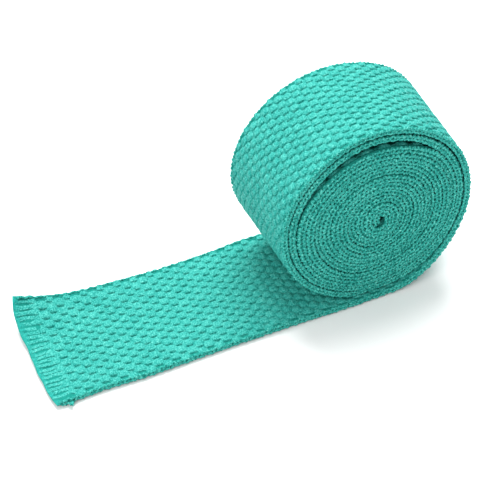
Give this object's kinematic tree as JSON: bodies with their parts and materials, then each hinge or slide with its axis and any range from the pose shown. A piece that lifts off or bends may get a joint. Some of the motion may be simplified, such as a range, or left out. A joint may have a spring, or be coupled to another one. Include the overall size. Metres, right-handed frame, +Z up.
{
  "type": "roll of polyester webbing",
  "caption": "Soft plain-woven webbing strip wound into a flat roll, lying on its own loose end, whose heat-sealed cut has one corner curled up.",
  "frame": {"origin": "middle of the footprint, on the surface that the roll lies on", "axes": "+Z up, Y along the roll's axis, the loose end towards -X and the roll towards +X"},
  "size_m": [0.1337, 0.0416, 0.06],
  "materials": {
    "webbing": "soft matt woven yarn, turquoise"
  },
  "bodies": {
    "root": {"roll": "webbing", "loose_end": "webbing"}
  },
  "joints": []
}
